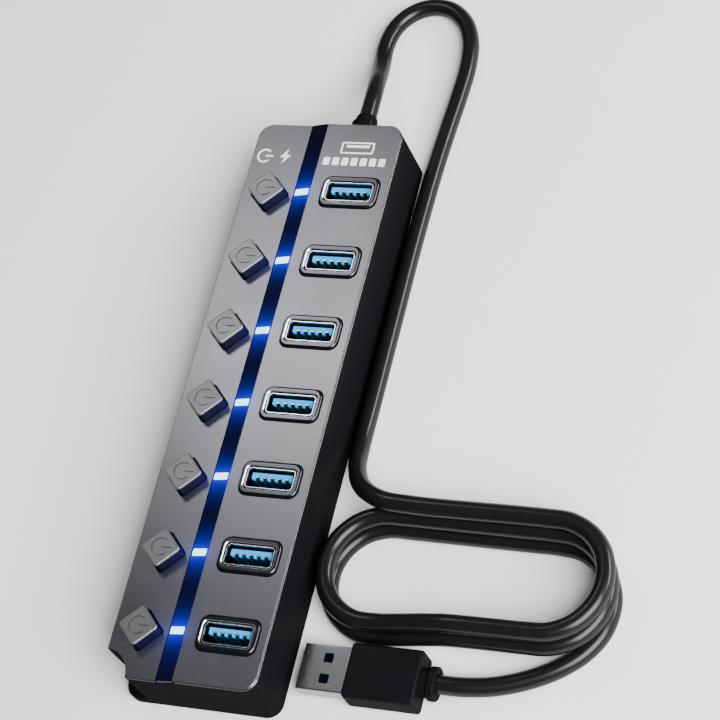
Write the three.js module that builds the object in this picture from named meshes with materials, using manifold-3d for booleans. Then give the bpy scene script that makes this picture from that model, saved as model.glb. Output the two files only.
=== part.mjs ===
// Seven-port USB hub: a flat two-shell case with seven upright sockets, a lit stripe,
// seven latching push switches and a captive cable that ends in a USB-A plug.
// Millimetres. +X is across the case towards the sockets, +Y along it towards the cable,
// +Z up out of the socket face. The origin is the middle of the underside.

import * as THREE from 'three';
import { mergeVertices } from 'three/addons/utils/BufferGeometryUtils.js';
import Module from 'manifold-3d';

const wasm = await Module();
wasm.setup();

// ---------------------------------------------------------------- driving dimensions

const CASE_LENGTH = 160;
const CASE_WIDTH = 42;
const CASE_HEIGHT = 19.5;          // to the socket side of the face
const FACE_STEP = 1.24;            // the switch side of the face lies this much lower
const CORNER_RADIUS = 4;
const WALL = 1.8;
const FLOOR = 2;
const COVER_EDGE = 0.5;            // cover thickness where it closes on the base rim
const COVER_THICKNESS = 2.2;
const GAP = 0.3;                   // air between two pieces that touch
const THROUGH = 40;                // height of a cut that goes right through
const PAST = 1;                    // how far a cutting solid runs past the face it opens
const LAP = 0.1;                   // how deep two joined solids reach into each other

const PORTS = 7;
const PORT_PITCH = 20.92;
const PORT_ROW_X = 10.6;
const PORT_ROW_Y = -3.96;          // middle of the row

const SHELL_WIDTH = 13.2;          // USB-A receptacle, outside
const SHELL_DEPTH = 5.7;
const SHELL_WALL = 0.35;
const SHELL_RADIUS = 0.6;
const SHELL_STANDS_PROUD = 0.5;
const BEZEL_SIDE = 1.5;            // raised frame beyond the shell, at the short sides
const BEZEL_END = 1.85;            // and at the long sides
const BEZEL_HEIGHT = 0.8;
const BEZEL_RADIUS = 2.6;
const TONGUE_WIDTH = 11.1;
const TONGUE_THICKNESS = 1.84;
const TONGUE_BACK_GAP = 0.65;      // between the tongue and the nearer shell wall
const TONGUE_RECESS = 1;
const INSULATOR_BLOCK = 3.1;       // height of the block that carries the tongue

const STRIPE_LEFT = -5.91;
const STRIPE_RIGHT = -0.78;
const STRIPE_THICKNESS = 1.1;
const STRIPE_SIDE_GAP = 0.2;
const WEB_THICKNESS = 1.2;         // of the cover under the stripe
const WEB_LAP = 0.5;               // how far that web runs past the stripe's edges
const WINDOW_LENGTH = 4.2;         // light window, across the stripe
const WINDOW_WIDTH = 1.9;
const LED_SIZE = [3.2, 1.6, 0.8];
const GUIDE_RAIL_WIDTH = 2.4;
const GUIDE_RAIL_ABOVE_LED = 0.9;
const GUIDE_RAIL_HEIGHT = 1.4;

const BUTTON_ROW_X = -12.75;
const BUTTON_DROP = 0.75;          // the switch row sits this far below the socket row
const CAP_SIDE = 7.7;
const CAP_RADIUS = 0.9;
const CAP_RISE = 3.6;              // above the switch side of the face, latched on
const CAP_FLANGE = 0.75;           // how far the retaining flange stands out
const CAP_FLANGE_THICKNESS = 0.9;
const CAP_CROWN = 4;               // solid top of the cap above its socket
const TRAVEL_OUT = 1.5;            // latched on to released
const TRAVEL_IN = 0.5;             // over-travel that trips the latch
const SLIDE_CLEARANCE = 0.35;
const PLUNGER_SIDE = 3.4;
const SWITCH_SIDE = 7;
const SWITCH_FLOOR = 1;

const BOARD_THICKNESS = 1.6;
const BOARD_HEIGHT = 5.5;          // underside of the circuit board
const BOARD_MARGIN = 0.7;          // between the board and the inside of the wall
const CHIP_SIDES = [9, 7];
const CHIP_HEIGHT = 1;

const SCREW_INSET = [5.5, 6];      // from the sides and the ends of the case
const SCREW_SHAFT = 1;             // radius
const SCREW_HEAD = 2;              // radius
const SCREW_HEAD_HEIGHT = 1.4;
const SCREW_LENGTH = 10.5;
const SCREW_CROSS = [2.6, 0.6, 0.7]; // length, width and depth of the driver's cross
const BOSS_RADIUS = 2.5;
const BOSS_WALL = 1;               // how much wider the base's bosses are than the cover's
const FOURTH_SCREW_SHIFT = [0.4, 0.8]; // moves it beside the stripe, clear of the lanyard cut

const LANYARD_RADIUS = 6.8;        // concave cut at one corner
const LANYARD_BAR = 2;             // width of the bar that closes the cut
const LANYARD_BAR_HEIGHT = 2.6;
const LANYARD_WALL = 1.2;          // between the cut and the inside of the case

const CORD_RADIUS = 2.4;
const EXIT_X = 5.3;
const EXIT_Z = 10;
const RELIEF_COLLAR_RADIUS = 3.75;
const RELIEF_NECK_RADIUS = 3;
const RELIEF_TIP = 0.4;            // thickness of the tip round the cord
const RELIEF_SHOULDER = 0.5;       // how much thicker the taper is where it starts
const RELIEF_CHAMFER = 0.4;
const RELIEF_COLLAR_LENGTH = 6;
const RELIEF_TAPER_LENGTH = 2;
const RELIEF_FLANGE_RADIUS = 4.55; // inside the wall, holds the relief in
const RELIEF_FLANGE_LENGTH = 1.6;

const COIL_CENTRE = [62, -39.5];
const COIL_STRAIGHT = 22;          // half of the straight side
const COIL_RADIUS = 14.5;          // of the round ends, to the middle of the cord
const COIL_LEAN = 1.5;             // each turn lies this much further along -Y
const COIL_TURNS = 2.25;
const COIL_LAYERS = 3;

const PLUG_CENTRE = [60.5, -67.4]; // where the cord enters the plug
const PLUG_AXIS_Z = 4.05;
const PLUG_COLLAR = [8.6, 6.6, 4]; // width, height, length
const PLUG_COLLAR_RADIUS = 2.4;
const PLUG_COLLAR_ROOT = 0.5;      // length of the collar inside the overmould
const OVERMOULD = [14.2, 8, 18.6];
const OVERMOULD_RADIUS = 1.3;
const PLUG_SHELL = [12, 4.5, 12.6];
const PLUG_SHELL_RADIUS = 0.7;
const PLUG_SHELL_ROOT = 3;         // length of the shell inside the overmould
const PLUG_SHELL_WALL = 0.3;
const PLUG_BORE_RADIUS = 0.5;
const PLUG_POCKET_RADIUS = 0.6;
const LATCH_HOLE = 2.4;            // side of the two square holes in the shell
const LATCH_HOLE_OFFSET = 2.7;     // from the middle of the shell
const PLUG_PLATE_THICKNESS = 1.5;
const PLUG_PLATE_RECESS = 0.4;     // behind the mouth of the shell

// Routes of the cord where it isn't coiled, chosen by hand.
const ROUTE_FROM_CASE = [
  [5.3, 88.5, 10], [5.1, 95, 9.6], [4.2, 100.5, 7.8], [2.9, 106, 4.9], [1.7, 111.5, 2.8],
  [1.3, 117, 2.42], [2.6, 122.8, 2.42], [6.3, 127.6, 2.42], [11.8, 130, 2.42],
  [17.8, 129.2, 2.42], [22.8, 125.2, 2.42], [25.9, 118.8, 2.42], [27, 110.5, 2.42],
  [26.7, 101, 2.42], [25.9, 90, 2.42], [25.2, 78, 2.42], [24.8, 64, 2.42], [24.6, 50, 2.42],
  [24.6, 36, 2.42], [24.6, 22, 2.42], [24.6, 10, 2.42], [24.7, 0, 2.7], [25.3, -7, 4],
  [27, -14, 6.8], [31, -20.4, 9.9], [37.5, -24.1, 11.8], [46, -25, 12.1],
];
const ROUTE_TO_PLUG = [
  [98.6, -42.5, 2.42], [97.6, -49, 2.42], [94.2, -54.6, 2.42], [88.6, -59.4, 2.42],
  [81.5, -63.2, 2.5], [73.8, -65.9, 3], [66.8, -67.2, 3.8], [60.9, -67.4, 4.05],
];

// ---------------------------------------------------------------- derived places

const halfLength = CASE_LENGTH / 2;
const halfWidth = CASE_WIDTH / 2;
const lowFace = CASE_HEIGHT - FACE_STEP;
const boardTop = BOARD_HEIGHT + BOARD_THICKNESS;
const seatZ = boardTop + GAP;
const portY = (k) => PORT_ROW_Y + ((PORTS - 1) / 2 - k) * PORT_PITCH;
const buttonY = (k) => portY(k) - BUTTON_DROP;
const stripeMiddle = (STRIPE_LEFT + STRIPE_RIGHT) / 2;
const faceAt = (x) => (x < stripeMiddle ? lowFace : CASE_HEIGHT);
const lanyardCorner = [-halfWidth, -halfLength];
const coverBottom = lowFace - COVER_THICKNESS;
const flangeTop = coverBottom - TRAVEL_OUT - GAP;
const capBottom = flangeTop - CAP_FLANGE_THICKNESS;
const switchTop = capBottom - TRAVEL_IN - GAP;
const capTop = lowFace + CAP_RISE;
const rows = Array.from({ length: PORTS }, (_, k) => k);

const screwX = halfWidth - SCREW_INSET[0];
const screwY = halfLength - SCREW_INSET[1];
const screws = [
  [screwX, screwY],
  [-screwX, screwY],
  [screwX, -screwY],
  [STRIPE_LEFT + FOURTH_SCREW_SHIFT[0], -screwY - FOURTH_SCREW_SHIFT[1]],
];

// ---------------------------------------------------------------- solids from geometry

function solid(geometry) {
  geometry.deleteAttribute('normal');
  geometry.deleteAttribute('uv');
  const merged = mergeVertices(geometry, 1e-4);
  return new wasm.Manifold(new wasm.Mesh({
    numProp: 3,
    vertProperties: new Float32Array(merged.attributes.position.array),
    triVerts: new Uint32Array(merged.index.array),
  }));
}

function prism(shape, z0, z1, curveSegments = 5) {
  const depth = z1 - z0;
  const geometry = new THREE.ExtrudeGeometry(shape, { depth, bevelEnabled: false, curveSegments });
  return solid(geometry.translate(0, 0, z0));
}

function block(x0, x1, y0, y1, z0, z1) {
  const geometry = new THREE.BoxGeometry(x1 - x0, y1 - y0, z1 - z0);
  return solid(geometry.translate((x0 + x1) / 2, (y0 + y1) / 2, (z0 + z1) / 2));
}

function post(width, depth, x, y, z0, z1) {
  return block(x - width / 2, x + width / 2, y - depth / 2, y + depth / 2, z0, z1);
}

function disc(radius, x, y, z0, z1, sides = 20) {
  const geometry = new THREE.CylinderGeometry(radius, radius, z1 - z0, sides);
  return solid(geometry.rotateX(Math.PI / 2).translate(x, y, (z0 + z1) / 2));
}

function roundedRectangle(width, depth, radius, x = 0, y = 0) {
  const w = width / 2;
  const d = depth / 2;
  const r = Math.min(radius, w * 0.99, d * 0.99);
  const shape = new THREE.Shape();
  shape.moveTo(x - w + r, y - d);
  shape.lineTo(x + w - r, y - d);
  shape.absarc(x + w - r, y - d + r, r, -Math.PI / 2, 0);
  shape.lineTo(x + w, y + d - r);
  shape.absarc(x + w - r, y + d - r, r, 0, Math.PI / 2);
  shape.lineTo(x - w + r, y + d);
  shape.absarc(x - w + r, y + d - r, r, Math.PI / 2, Math.PI);
  shape.lineTo(x - w, y - d + r);
  shape.absarc(x - w + r, y - d + r, r, Math.PI, Math.PI * 1.5);
  return shape;
}

function outline(inset, z0, z1) {
  const radius = Math.max(CORNER_RADIUS - inset, 0.5);
  const shape = roundedRectangle(CASE_WIDTH - 2 * inset, CASE_LENGTH - 2 * inset, radius);
  return prism(shape, z0, z1, 6);
}

function diamond(side, radius, y, z0, z1) {
  const geometry = new THREE.ExtrudeGeometry(roundedRectangle(side, side, radius), {
    depth: z1 - z0, bevelEnabled: false, curveSegments: 3,
  });
  return solid(geometry.rotateZ(Math.PI / 4).translate(BUTTON_ROW_X, y, z0));
}

// A bar along the whole case whose cross-section is a polygon of (x, z) corners.
function bar(corners) {
  const shape = new THREE.Shape(corners.map(([x, z]) => new THREE.Vector2(x, z)));
  const depth = CASE_LENGTH + 2 * PAST;
  const geometry = new THREE.ExtrudeGeometry(shape, { depth, bevelEnabled: false });
  return solid(geometry.rotateX(Math.PI / 2).translate(0, halfLength + PAST, 0));
}

// The stepped face as a height over x, lowered by a depth, closed down to a lower line.
function faceSlab(topDepth, bottom) {
  const reach = halfWidth + PAST;
  const low = lowFace - topDepth;
  const high = CASE_HEIGHT - topDepth;
  return bar([
    [-reach, bottom(lowFace)], [STRIPE_LEFT, bottom(lowFace)], [STRIPE_RIGHT, bottom(CASE_HEIGHT)],
    [reach, bottom(CASE_HEIGHT)], [reach, high], [STRIPE_RIGHT, high], [STRIPE_LEFT, low],
    [-reach, low],
  ]);
}

const below = (depth) => (face) => face - depth;

function part(name, shape, finish) {
  const { vertProperties, triVerts } = shape.getMesh();
  const geometry = new THREE.BufferGeometry();
  geometry.setAttribute('position', new THREE.BufferAttribute(vertProperties, 3));
  geometry.setIndex(new THREE.BufferAttribute(triVerts, 1));
  geometry.computeVertexNormals();
  const mesh = new THREE.Mesh(geometry, new THREE.MeshStandardMaterial(finish));
  mesh.name = name;
  return mesh;
}

// ---------------------------------------------------------------- finishes

const satinFace = { color: 0x3a3d42, roughness: 0.45, metalness: 0.25 };
const blackCase = { color: 0x0b0b0d, roughness: 0.32, metalness: 0 };
const smokedStripe = { color: 0x0a1022, roughness: 0.15, metalness: 0 };
const clearGuide = { color: 0xdfeaf2, roughness: 0.2, metalness: 0 };
const capFinish = { color: 0x55585c, roughness: 0.55, metalness: 0.1 };
const nickel = { color: 0xc9ccd0, roughness: 0.25, metalness: 1 };
const blueResin = { color: 0x1f9fe6, roughness: 0.4, metalness: 0 };
const greenBoard = { color: 0x14532d, roughness: 0.5, metalness: 0 };
const switchResin = { color: 0x1b1b1d, roughness: 0.6, metalness: 0 };
const plungerResin = { color: 0xe8e6df, roughness: 0.5, metalness: 0 };
const ledResin = { color: 0xbfeaff, roughness: 0.3, metalness: 0 };
const chipResin = { color: 0x18181a, roughness: 0.7, metalness: 0 };
const screwSteel = { color: 0x4a4a4e, roughness: 0.35, metalness: 1 };
const cordJacket = { color: 0x0d0d0e, roughness: 0.22, metalness: 0 };
const overmouldResin = { color: 0x121213, roughness: 0.45, metalness: 0 };

// ---------------------------------------------------------------- case

function lanyardCut(radius, z0, z1) {
  return disc(radius, lanyardCorner[0], lanyardCorner[1], z0, z1, 48);
}

// The groove that the stripe lies in, widened by a margin where it passes the base rim.
function stripeGroove(margin) {
  const depth = STRIPE_THICKNESS + GAP;
  return bar([
    [STRIPE_LEFT - margin, lowFace - depth], [STRIPE_RIGHT + margin, CASE_HEIGHT - depth],
    [STRIPE_RIGHT + margin, CASE_HEIGHT + PAST], [STRIPE_LEFT - margin, CASE_HEIGHT + PAST],
  ]);
}

function topCover() {
  const top = CASE_HEIGHT + PAST;
  let cover = faceSlab(0, below(COVER_EDGE)).intersect(outline(0, 0, top));
  const inner = faceSlab(COVER_EDGE, below(COVER_THICKNESS)).intersect(outline(WALL + GAP, 0, top));
  cover = cover.add(inner.subtract(lanyardCut(LANYARD_RADIUS + LANYARD_WALL + GAP, 0, top)));

  for (const [x, y] of screws) {
    cover = cover.add(disc(BOSS_RADIUS, x, y, BOARD_HEIGHT, faceAt(x) - COVER_EDGE - LAP));
    const boreTop = SCREW_HEAD_HEIGHT + SCREW_LENGTH + 2 * GAP;
    cover = cover.subtract(disc(SCREW_SHAFT + GAP, x, y, BOARD_HEIGHT - PAST, boreTop));
  }
  for (const k of rows) {
    const frame = roundedRectangle(SHELL_WIDTH + 2 * BEZEL_SIDE, SHELL_DEPTH + 2 * BEZEL_END,
      BEZEL_RADIUS, PORT_ROW_X, portY(k));
    cover = cover.add(prism(frame, CASE_HEIGHT - LAP, CASE_HEIGHT + BEZEL_HEIGHT, 4));
  }
  // A web of the cover runs on under the stripe, inside the base rim.
  const webEnd = halfLength - WALL - GAP;
  const web = faceSlab(COVER_EDGE, below(STRIPE_THICKNESS + GAP + WEB_THICKNESS));
  cover = cover.add(web.intersect(block(STRIPE_LEFT - WEB_LAP, STRIPE_RIGHT + WEB_LAP,
    -webEnd, webEnd, 0, THROUGH)));
  for (const k of rows) {
    const slot = post(SHELL_WIDTH + 2 * GAP, SHELL_DEPTH + 2 * GAP, PORT_ROW_X, portY(k), 0, THROUGH);
    const hole = diamond(CAP_SIDE + 2 * SLIDE_CLEARANCE, CAP_RADIUS, buttonY(k), 0, THROUGH);
    const window = post(WINDOW_LENGTH + 2 * GAP, WINDOW_WIDTH + 2 * GAP, stripeMiddle, portY(k),
      0, THROUGH);
    cover = cover.subtract(slot).subtract(hole).subtract(window);
  }
  cover = cover.subtract(stripeGroove(0));
  return cover.subtract(lanyardCut(LANYARD_RADIUS, 0, THROUGH));
}

function baseShell() {
  const rim = COVER_EDGE + GAP;
  let base = faceSlab(rim, () => 0).intersect(outline(0, 0, CASE_HEIGHT));
  let cavity = outline(WALL, FLOOR, CASE_HEIGHT + PAST);
  cavity = cavity.subtract(lanyardCut(LANYARD_RADIUS + LANYARD_WALL, 0, THROUGH));
  base = base.subtract(cavity).subtract(stripeGroove(GAP));

  for (const [x, y] of screws) {
    base = base.add(disc(BOSS_RADIUS + BOSS_WALL, x, y, 0, BOARD_HEIGHT - GAP, 24));
    base = base.subtract(disc(SCREW_SHAFT + GAP, x, y, -PAST, BOARD_HEIGHT));
    base = base.subtract(disc(SCREW_HEAD + GAP, x, y, -PAST, SCREW_HEAD_HEIGHT + 2 * GAP));
  }
  const inside = outline(LANYARD_BAR, -PAST, LANYARD_BAR_HEIGHT + PAST);
  const scoop = lanyardCut(LANYARD_RADIUS, -PAST, LANYARD_BAR_HEIGHT + PAST);
  base = base.subtract(scoop.intersect(inside));
  base = base.subtract(lanyardCut(LANYARD_RADIUS, LANYARD_BAR_HEIGHT, THROUGH));
  const bore = RELIEF_NECK_RADIUS + GAP;
  const neck = new THREE.CylinderGeometry(bore, bore, 2 * RELIEF_COLLAR_LENGTH, 20);
  return base.subtract(solid(neck.translate(EXIT_X, halfLength, EXIT_Z)));
}

function lightBar() {
  const side = STRIPE_SIDE_GAP;
  const slope = FACE_STEP / (STRIPE_RIGHT - STRIPE_LEFT);
  const left = lowFace + slope * side;
  const right = CASE_HEIGHT - slope * side;
  const stripe = bar([
    [STRIPE_LEFT + side, left - STRIPE_THICKNESS], [STRIPE_RIGHT - side, right - STRIPE_THICKNESS],
    [STRIPE_RIGHT - side, right], [STRIPE_LEFT + side, left],
  ]);
  return stripe.intersect(outline(0, 0, CASE_HEIGHT + PAST));
}

function lightGuide() {
  const railZ = seatZ + LED_SIZE[2] + GUIDE_RAIL_ABOVE_LED;
  const first = portY(0) + WINDOW_WIDTH / 2;
  const last = portY(PORTS - 1) - WINDOW_WIDTH / 2;
  const x0 = stripeMiddle - GUIDE_RAIL_WIDTH / 2;
  let guide = block(x0, x0 + GUIDE_RAIL_WIDTH, last, first, railZ, railZ + GUIDE_RAIL_HEIGHT);
  const top = lowFace - STRIPE_THICKNESS - GAP;
  for (const k of rows) {
    const foot = seatZ + LED_SIZE[2] + GAP;
    guide = guide.add(post(WINDOW_LENGTH, WINDOW_WIDTH, stripeMiddle, portY(k), foot, top));
  }
  return guide;
}

// ---------------------------------------------------------------- sockets

function portShell(y) {
  const top = CASE_HEIGHT + SHELL_STANDS_PROUD;
  const section = roundedRectangle(SHELL_WIDTH, SHELL_DEPTH, SHELL_RADIUS, PORT_ROW_X, y);
  const outer = prism(section, seatZ, top, 2);
  const w = SHELL_WIDTH - 2 * SHELL_WALL;
  const d = SHELL_DEPTH - 2 * SHELL_WALL;
  return outer.subtract(post(w, d, PORT_ROW_X, y, 0, THROUGH));
}

function portInsulator(y) {
  const fit = SHELL_WALL + GAP;
  const blockTop = seatZ + INSULATOR_BLOCK;
  const foot = post(SHELL_WIDTH - 2 * fit, SHELL_DEPTH - 2 * fit, PORT_ROW_X, y, seatZ, blockTop);
  const back = SHELL_DEPTH / 2 - SHELL_WALL - TONGUE_BACK_GAP;
  const tongueTop = CASE_HEIGHT + SHELL_STANDS_PROUD - TONGUE_RECESS;
  const tongue = block(PORT_ROW_X - TONGUE_WIDTH / 2, PORT_ROW_X + TONGUE_WIDTH / 2,
    y + back - TONGUE_THICKNESS, y + back, blockTop - 2 * LAP, tongueTop);
  return foot.add(tongue);
}

// ---------------------------------------------------------------- switches

function buttonCap(y) {
  let cap = diamond(CAP_SIDE, CAP_RADIUS, y, capBottom, capTop);
  cap = cap.add(diamond(CAP_SIDE + 2 * CAP_FLANGE, CAP_RADIUS, y, capBottom, flangeTop));
  const socket = PLUNGER_SIDE + 2 * GAP;
  return cap.subtract(post(socket, socket, BUTTON_ROW_X, y, 0, capTop - CAP_CROWN));
}

function switchPlunger(y) {
  const foot = seatZ + SWITCH_FLOOR + TRAVEL_IN + GAP;
  return post(PLUNGER_SIDE, PLUNGER_SIDE, BUTTON_ROW_X, y, foot, capTop - CAP_CROWN - GAP);
}

function switchBody(y) {
  const body = post(SWITCH_SIDE, SWITCH_SIDE, BUTTON_ROW_X, y, seatZ, switchTop);
  const well = PLUNGER_SIDE + 2 * GAP;
  return body.subtract(post(well, well, BUTTON_ROW_X, y, seatZ + SWITCH_FLOOR, THROUGH));
}

// ---------------------------------------------------------------- board and screws

function circuitBoard() {
  let board = outline(WALL + BOARD_MARGIN, BOARD_HEIGHT, boardTop);
  for (const [x, y] of screws) {
    board = board.subtract(disc(BOSS_RADIUS + GAP, x, y, 0, THROUGH));
  }
  const notch = RELIEF_FLANGE_RADIUS + GAP;
  const notchEnd = halfLength - WALL - RELIEF_FLANGE_LENGTH - 2 * GAP;
  board = board.subtract(block(EXIT_X - notch, EXIT_X + notch, notchEnd, halfLength, 0, THROUGH));
  return board.subtract(lanyardCut(LANYARD_RADIUS + LANYARD_WALL + BOARD_MARGIN, 0, THROUGH));
}

function caseScrew(x, y) {
  const head = disc(SCREW_HEAD, x, y, GAP, GAP + SCREW_HEAD_HEIGHT);
  const shaft = disc(SCREW_SHAFT, x, y, GAP, GAP + SCREW_HEAD_HEIGHT + SCREW_LENGTH, 12);
  const [length, width, depth] = SCREW_CROSS;
  const cross = post(length, width, x, y, 0, GAP + depth);
  return head.add(shaft).subtract(cross.add(post(width, length, x, y, 0, GAP + depth)));
}

// ---------------------------------------------------------------- cord and plug

// Turned about the cord's axis where it leaves the end wall.
function strainRelief() {
  const inner = -WALL - GAP;
  const tip = CORD_RADIUS + RELIEF_TIP;
  const profile = [
    [0, inner - RELIEF_FLANGE_LENGTH], [RELIEF_FLANGE_RADIUS, inner - RELIEF_FLANGE_LENGTH],
    [RELIEF_FLANGE_RADIUS, inner],
    [RELIEF_NECK_RADIUS, inner], [RELIEF_NECK_RADIUS, GAP], [RELIEF_COLLAR_RADIUS, GAP],
    [RELIEF_COLLAR_RADIUS, RELIEF_COLLAR_LENGTH - RELIEF_CHAMFER],
    [RELIEF_COLLAR_RADIUS - RELIEF_CHAMFER, RELIEF_COLLAR_LENGTH],
    [tip + RELIEF_SHOULDER, RELIEF_COLLAR_LENGTH],
    [tip, RELIEF_COLLAR_LENGTH + RELIEF_TAPER_LENGTH],
    [0, RELIEF_COLLAR_LENGTH + RELIEF_TAPER_LENGTH],
  ].map(([r, along]) => new THREE.Vector2(r, along));
  return solid(new THREE.LatheGeometry(profile, 20).translate(EXIT_X, halfLength, EXIT_Z));
}

function stadium(halfStraight, radius) {
  const shape = new THREE.Shape();
  shape.moveTo(-halfStraight, -radius);
  shape.lineTo(halfStraight, -radius);
  shape.absarc(halfStraight, 0, radius, -Math.PI / 2, Math.PI / 2);
  shape.lineTo(-halfStraight, radius);
  shape.absarc(-halfStraight, 0, radius, Math.PI / 2, Math.PI * 1.5);
  return shape;
}

// The turns lie on and beside each other, so their outer shape is one oval ring.
function cordCoil(margin = 0) {
  const lean = COIL_LEAN * COIL_TURNS / 2;
  const reach = CORD_RADIUS + lean + margin;
  const shape = stadium(COIL_STRAIGHT - lean, COIL_RADIUS + reach);
  shape.holes.push(stadium(COIL_STRAIGHT, COIL_RADIUS - reach));
  const top = 2 * CORD_RADIUS * COIL_LAYERS + margin;
  const foot = Math.min(-margin, 0.02);
  const geometry = new THREE.ExtrudeGeometry(shape, {
    depth: top - foot, bevelEnabled: false, curveSegments: 12,
  });
  return solid(geometry.translate(COIL_CENTRE[0], COIL_CENTRE[1] - lean, foot));
}

function tube(route, steps) {
  const path = new THREE.CatmullRomCurve3(route.map((point) => new THREE.Vector3(...point)),
    false, 'centripetal');
  const section = new THREE.Shape();
  section.absarc(0, 0, CORD_RADIUS, 0, Math.PI * 2);
  const geometry = new THREE.ExtrudeGeometry(section, { extrudePath: path, steps, curveSegments: 5 });
  return solid(geometry);
}

// Plug pieces are made along -X from the cord's end, then laid at the end of the cord.
function plugBlock([width, height], x0, x1, radius) {
  const shape = roundedRectangle(width, height, radius);
  const geometry = new THREE.ExtrudeGeometry(shape, {
    depth: x0 - x1, bevelEnabled: false, curveSegments: 3,
  });
  geometry.rotateZ(Math.PI / 2).rotateY(-Math.PI / 2);
  return solid(geometry.translate(PLUG_CENTRE[0] + x0, PLUG_CENTRE[1], PLUG_AXIS_Z));
}

function plugPieces() {
  const collarEnd = -PLUG_COLLAR[2];
  const mouldEnd = collarEnd - OVERMOULD[2];
  const tip = mouldEnd - PLUG_SHELL[2];
  const root = mouldEnd + PLUG_SHELL_ROOT;

  const pocket = [PLUG_SHELL[0] + 2 * GAP, PLUG_SHELL[1] + 2 * GAP];
  const collar = plugBlock(PLUG_COLLAR, 0, collarEnd - PLUG_COLLAR_ROOT, PLUG_COLLAR_RADIUS);
  const overmould = collar.add(plugBlock(OVERMOULD, collarEnd, mouldEnd, OVERMOULD_RADIUS))
    .subtract(plugBlock(pocket, root + GAP, mouldEnd - PAST, PLUG_POCKET_RADIUS));

  const inner = [PLUG_SHELL[0] - 2 * PLUG_SHELL_WALL, PLUG_SHELL[1] - 2 * PLUG_SHELL_WALL];
  let shell = plugBlock(PLUG_SHELL, root, tip, PLUG_SHELL_RADIUS);
  shell = shell.subtract(plugBlock(inner, root + PAST, tip - PAST, PLUG_BORE_RADIUS));
  const holeX = PLUG_CENTRE[0] + (mouldEnd + tip) / 2;
  const y = PLUG_CENTRE[1];
  for (const holeY of [y - LATCH_HOLE_OFFSET, y + LATCH_HOLE_OFFSET]) {
    shell = shell.subtract(post(LATCH_HOLE, LATCH_HOLE, holeX, holeY, PLUG_AXIS_Z, THROUGH));
  }

  const halfPlate = PLUG_SHELL[0] / 2 - PLUG_SHELL_WALL - GAP;
  const plateBottom = PLUG_AXIS_Z - PLUG_SHELL[1] / 2 + PLUG_SHELL_WALL + GAP;
  const insulator = block(PLUG_CENTRE[0] + tip + PLUG_PLATE_RECESS, PLUG_CENTRE[0] + root,
    y - halfPlate, y + halfPlate, plateBottom, plateBottom + PLUG_PLATE_THICKNESS);
  return { overmould, shell, insulator };
}

// ---------------------------------------------------------------- assembly

const group = new THREE.Group();

const caseGroup = new THREE.Group();
caseGroup.add(part('top_cover', topCover(), satinFace));
caseGroup.add(part('base_shell', baseShell(), blackCase));
caseGroup.add(part('light_bar', lightBar(), smokedStripe));
caseGroup.add(part('light_guide', lightGuide(), clearGuide));
screws.forEach(([x, y], i) => caseGroup.add(part(`case_screw_${i + 1}`, caseScrew(x, y), screwSteel)));
group.add(caseGroup);

const boardGroup = new THREE.Group();
boardGroup.add(part('circuit_board', circuitBoard(), greenBoard));
CHIP_SIDES.forEach((side, i) => {
  const y = (portY(2 + i) + portY(3 + i)) / 2;
  const chip = post(side, side, PORT_ROW_X, y, seatZ, seatZ + CHIP_HEIGHT);
  boardGroup.add(part(`hub_controller_${i + 1}`, chip, chipResin));
});
group.add(boardGroup);

const channelGroup = new THREE.Group();
for (const k of rows) {
  const n = k + 1;
  const led = post(LED_SIZE[0], LED_SIZE[1], stripeMiddle, portY(k), seatZ, seatZ + LED_SIZE[2]);
  channelGroup.add(part(`port_shell_${n}`, portShell(portY(k)), nickel));
  channelGroup.add(part(`port_insulator_${n}`, portInsulator(portY(k)), blueResin));
  channelGroup.add(part(`led_${n}`, led, ledResin));
  channelGroup.add(part(`switch_body_${n}`, switchBody(buttonY(k)), switchResin));
  channelGroup.add(part(`switch_plunger_${n}`, switchPlunger(buttonY(k)), plungerResin));
  channelGroup.add(part(`button_cap_${n}`, buttonCap(buttonY(k)), capFinish));
}
group.add(channelGroup);

const cordGroup = new THREE.Group();
const coilCut = cordCoil(GAP);
const { overmould, shell, insulator } = plugPieces();
cordGroup.add(part('strain_relief', strainRelief(), overmouldResin));
cordGroup.add(part('cord_upper', tube(ROUTE_FROM_CASE, 58).subtract(coilCut), cordJacket));
cordGroup.add(part('cord_coil', cordCoil(), cordJacket));
cordGroup.add(part('cord_lower', tube(ROUTE_TO_PLUG, 12).subtract(coilCut), cordJacket));
cordGroup.add(part('plug_overmould', overmould, overmouldResin));
cordGroup.add(part('plug_shell', shell, nickel));
cordGroup.add(part('plug_insulator', insulator, blueResin));
group.add(cordGroup);

export default group;
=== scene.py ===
# %% [markdown]
# # A seven-port USB hub
# The hub is a flat black tub closed by a dark metallic cover, with seven sockets, seven diamond
# push switches, a smoked light bar and a captive cable that ends in a plug. The frame is the
# engineering model: it says where everything is. Each cell below makes one piece around it.

# %% Load the frame
import math

import bmesh
import bpy
from mathutils import Matrix, Vector


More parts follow.
